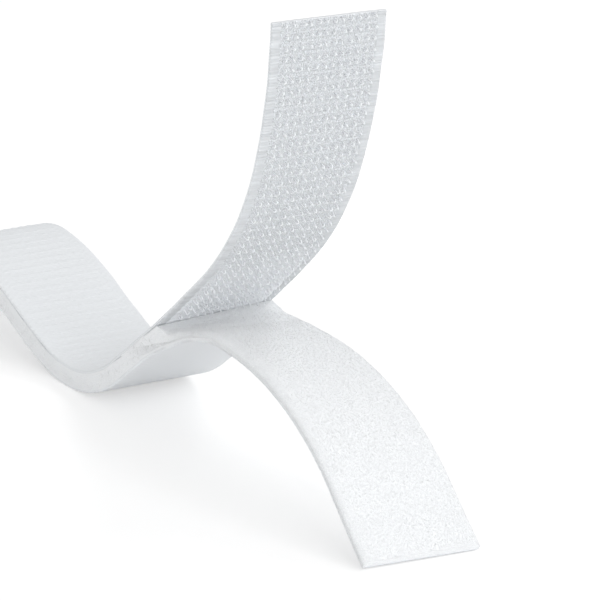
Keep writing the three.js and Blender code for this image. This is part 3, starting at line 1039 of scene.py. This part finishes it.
def make_camera(scene):
    view = scene.photo_view
    tape = Tape(scene.tape_sizes)
    right, up, back = view_axes(view)
    dip = Vector((tape.hook.at(tape.dip)[:, 3] + tape.loop.at(tape.dip)[:, 3]) / 2)
    camera = bpy.data.objects.new("camera", bpy.data.cameras.new("camera"))
    scene.collection.objects.link(camera)
    place = dip + view.right * right + view.up * up + view.distance * back
    turn = Matrix((right, up, back)).transposed()
    camera.matrix_world = Matrix.Translation(place) @ turn.to_4x4()
    camera.data.sensor_width = FILM_WIDTH
    camera.data.lens = view.pixels_per_mm / MM * view.distance * FILM_WIDTH / PICTURE_WIDTH
    camera.data.clip_start = 0.01
    camera.data.clip_end = 20
    scene.camera = camera


def make_floor(colours):
    mesh = bpy.data.meshes.new("floor")
    corners = [(FLOOR_REACH * x, FLOOR_REACH * y, 0) for x, y in ((-1, -1), (1, -1), (1, 1), (-1, 1))]
    mesh.from_pydata(corners, [], [(0, 1, 2, 3)])
    material = bpy.data.materials.new("pale_floor")
    material.use_nodes = True
    tree = material.node_tree
    shader = tree.nodes["Principled BSDF"]
    set_values(shader, {"Roughness": 0.9, "Specular IOR Level": 0.1, "Emission Color": (1, 1, 1, 1)})
    path = tree.nodes.new("ShaderNodeLightPath").outputs
    seen = maths(tree, "MAXIMUM", path["Is Camera Ray"], path["Is Glossy Ray"])
    seen = maths(tree, "MAXIMUM", seen, path["Is Transmission Ray"])
    feed(tree, shader.inputs["Emission Strength"], maths(tree, "MULTIPLY", seen, FLOOR_GLOW))
    shade = tree.nodes.new("ShaderNodeMix")
    shade.data_type = "RGBA"
    shade.inputs["A"].default_value = list(colours.floor) + [1]
    shade.inputs["B"].default_value = [FLOOR_SHADE * c for c in colours.floor] + [1]
    feed(tree, shade.inputs["Factor"], seen)
    feed(tree, shader.inputs["Base Color"], shade.outputs["Result"])
    mesh.materials.append(material)
    floor = bpy.data.objects.new("floor", mesh)
    bpy.context.scene.collection.objects.link(floor)


def make_light(scene):
    world = bpy.data.worlds.new("studio")
    world.use_nodes = True
    background = world.node_tree.nodes["Background"]
    background.inputs["Color"].default_value = (1, 1, 1, 1)
    background.inputs["Strength"].default_value = WORLD_LIGHT
    scene.world = world
    right, _, back = view_axes(scene.photo_view)
    right = Vector((right.x, right.y, 0)).normalized()
    away = Vector((-back.x, -back.y, 0)).normalized()
    for name, round_from_right, height, size, power in LAMPS:
        turn, lift = math.radians(round_from_right), math.radians(height)
        level = math.cos(turn) * right + math.sin(turn) * away
        place = math.cos(lift) * level + math.sin(lift) * Vector((0, 0, 1))
        lamp = bpy.data.lights.new(name, "AREA")
        lamp.size = size
        lamp.energy = power
        source = bpy.data.objects.new(name, lamp)
        source.location = LAMP_AIM + LAMP_DISTANCE * place
        source.rotation_euler = place.to_track_quat("Z", "Y").to_euler()
        scene.collection.objects.link(source)


class TAPE_OT_core(Operator):
    """Makes the spiral-wound board core"""

    bl_idname = "tape.core"
    bl_label = "Board core"

    def execute(self, context):
        piece = core_tube("core_tube", context.scene.tape_sizes, slot_material("core_board"))
        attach(piece, "roll")
        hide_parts("core")
        return {"FINISHED"}


def core_tube(name, sizes, material):
    """A board tube with soft lips at its ends and the shallow seam of its outer ply."""
    around = np.linspace(0, 2 * np.pi, 144, endpoint=False)[:, None]
    lip = 0.3 * MM
    half = sizes.width / 2
    ends = np.array([-half, -half + 0.1 * MM, -half + lip])
    across = np.concatenate([ends, np.linspace(-half + lip, half - lip, 25)[1:-1], -ends[::-1]])
    inset = lip * np.clip((np.abs(across) - half + lip) / lip, 0, 1) ** 2
    seam = np.abs((around / (2 * np.pi) + across / (18 * MM)) % 1 - 0.5) * 2
    groove = 0.12 * MM * (seam < 0.03)
    outer = CORE_RADIUS - inset - groove
    inner = CORE_RADIUS - sizes.core_wall + inset + groove

    def ring(radius):
        spread = np.broadcast_to(across, radius.shape)
        return np.stack([radius * np.cos(around), spread, radius * np.sin(around)], axis=-1)

    points = np.concatenate([ring(outer), ring(inner)[:, ::-1]], axis=1)
    rows, columns = points.shape[:2]
    index = np.arange(rows * columns).reshape(rows, columns)
    after, beyond = np.roll(index, -1, axis=1), np.roll(index, -1, axis=0)
    both = np.roll(after, -1, axis=0)
    quads = np.stack([index, after, both, beyond], axis=-1).reshape(-1, 4)
    points = points.reshape(-1, 3) + np.array(CORE_CENTRE)
    return make_mesh(name, points, quads, NO_TRIANGLES, material)


class TAPE_OT_hook_ground(Operator):
    """Weaves the hook strip's ground"""

    bl_idname = "tape.hook_ground"
    bl_label = "Hook ground"

    def execute(self, context):
        sizes, colours = context.scene.tape_sizes, context.scene.tape_colours
        tape = Tape(sizes)
        back = slot_material("hook_weave")
        # The hook side and its bare edges are painted darker than the back as shade. Near the mouth the
        # felt's colour lightens it as lint and painted light.
        face = hook_face_material(colours.shaded_hook_face, colours.loop_felt, tape.peel + LINT_AND_PAINTED_LIGHT_END)
        bare = mottled_material("shaded_hook_selvedge", [SELVEDGE_SHADE * c for c in colours.shaded_hook_face])
        weave_strip("hook", tape, sizes, (-sizes.ground, 0), (back, face, bare))
        return {"FINISHED"}


class TAPE_OT_hooks(Operator):
    """Sets the nylon hooks on the free tail of the hook strip"""

    bl_idname = "tape.hooks"
    bl_label = "Hooks"

    def execute(self, context):
        sizes, colours = context.scene.tape_sizes, context.scene.tape_colours
        tape = Tape(sizes)
        material = slot_material("hook_nylon")
        # Painted shade: legs and stubs darker than the bows
        legs = mottled_material("shaded_hook_legs", colours.shaded_hook_legs)
        for seed, (label, start, end, bend) in enumerate(tape.spans("hook")[-2:]):
            paths = hook_paths(tape, sizes, max(start, tape.peel + SHOWN_ROWS), end, seed)
            if start < tape.peel:
                first, last = (tape.peel + away for away in HELD_ROWS)
                held = hook_paths(tape, sizes, first, last, SEEDS["held_hooks"])
                paths = [join_bundles(*pair) for pair in zip(paths, held)]
            piece = tube_mesh(f"hooks_{label}", paths, HOOK_SIDES, material, legs)
            ride_or_bend(piece, tape, tape.hook, bend)
            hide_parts(f"hook_rows_{NODES[label]}")
        return {"FINISHED"}


class TAPE_OT_loop_ground(Operator):
    """Weaves the loop strip's ground"""

    bl_idname = "tape.loop_ground"
    bl_label = "Loop ground"

    def execute(self, context):
        sizes = context.scene.tape_sizes
        weave_strip("loop", Tape(sizes), sizes, (0, sizes.ground), (slot_material("loop_weave"),))
        return {"FINISHED"}


class TAPE_OT_loop_pile(Operator):
    """Raises the napped loops, matted between the pressed grounds and free on the loop tail"""

    bl_idname = "tape.loop_pile"
    bl_label = "Loop pile"

    def execute(self, context):
        sizes, colours = context.scene.tape_sizes, context.scene.tape_colours
        tape = Tape(sizes)
        material = slot_material("loop_nylon")
        felted = mottled_material("loop_felt", colours.loop_felt)
        for number, span in enumerate(tape.spans("loop")):
            label, start, end, bend = span
            base = felt(f"loop_felt_{label}", tape, span, sizes, felted)
            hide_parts(f"loop_pile_{NODES[label]}")
            if label in ("roll", "lead", "dip"):
                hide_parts(f"hook_field_{NODES[label]}")
            pieces = [base]
            edge_start = tape.peel if label == "fall" else start
            bundles = edge_loops(tape, sizes, edge_start, end, EDGE_LOOPS[label], SEEDS["edge"] + number)
            if label == "fall":
                seed = SEEDS["pressed_edge"]
                bundles += edge_loops(tape, sizes, start, tape.peel, EDGE_LOOPS["dip"], seed)
            if end > tape.peel:
                free = max(start, tape.peel - NAP_LEAD)
                bundles += loops(tape, sizes, free, end, SEEDS["loops"] + number)
                for layer in range(NAP_LAYERS):
                    fibres = nap(tape, sizes, free, end, SEEDS["nap"] + SEEDS_PER_LAYER * layer + number)
                    pieces.append(tube_mesh(f"nap_{label}_{layer + 1}", fibres, FIBRE_SIDES, material))
            pieces.append(tube_mesh(f"loops_{label}", bundles, FIBRE_SIDES, material))
            for piece in pieces:
                ride_or_bend(piece, tape, tape.loop, bend)
        self.raise_bank(tape, sizes, felted, material)
        return {"FINISHED"}

    def raise_bank(self, tape, sizes, felted, material):
        """The loops that the hooks hold up at the mouth, as pieces that ride on the fold."""
        start, end, seed = tape.peel, tape.peel + BANK_LENGTH, SEEDS["bank"]
        fibres = edge_loops(tape, sizes, start, end, EDGE_LOOPS["dip"] / 2, seed, True)
        fibres += loops(tape, sizes, start, end, seed + 1, True)
        pieces = [bank("mouth_bank", tape, sizes, felted)]
        pieces.append(tube_mesh("mouth_loops", fibres, FIBRE_SIDES, material))
        for layer in range(BANK_LAYERS):
            fibres = nap(tape, sizes, start, end, seed + 2 + layer, True)
            pieces.append(tube_mesh(f"mouth_nap_{layer + 1}", fibres, FIBRE_SIDES, material))
        seat = tape.loop.at(tape.peel + BANK_LENGTH / 2)
        for piece in pieces:
            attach(piece, "fold")
            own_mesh(piece)


class TAPE_PT_panel(Panel):
    """Lists the tape's sizes, colours and pieces"""

    bl_idname = "TAPE_PT_panel"
    bl_label = "Hook and loop tape"
    bl_space_type = "VIEW_3D"
    bl_region_type = "UI"
    bl_category = "Tape"

    def draw(self, context):
        for operator in OPERATORS:
            self.layout.operator(operator.bl_idname)
        for group in ("tape_sizes", "tape_colours", "photo_view"):
            values = getattr(context.scene, group)
            box = self.layout.box()
            for label in values.__annotations__:
                box.prop(values, label)


OPERATORS = (
    TAPE_OT_stage,
    TAPE_OT_core,
    TAPE_OT_hook_ground,
    TAPE_OT_hooks,
    TAPE_OT_loop_ground,
    TAPE_OT_loop_pile,
)
GROUPS = {"tape_sizes": TapeSizes, "tape_colours": TapeColours, "photo_view": PhotoView}
CLASSES = (*GROUPS.values(), *OPERATORS, TAPE_PT_panel)


def register():
    for kind in CLASSES:
        bpy.utils.register_class(kind)
    for name, kind in GROUPS.items():
        setattr(bpy.types.Scene, name, PointerProperty(type=kind))


def unregister():
    for name in GROUPS:
        delattr(bpy.types.Scene, name)
    for kind in reversed(CLASSES):
        bpy.utils.unregister_class(kind)


def main():
    register()
    bpy.ops.tape.stage()
    bpy.ops.tape.core()
    bpy.ops.tape.hook_ground()
    bpy.ops.tape.hooks()
    bpy.ops.tape.loop_ground()
    bpy.ops.tape.loop_pile()


if __name__ == "__main__":
    main()
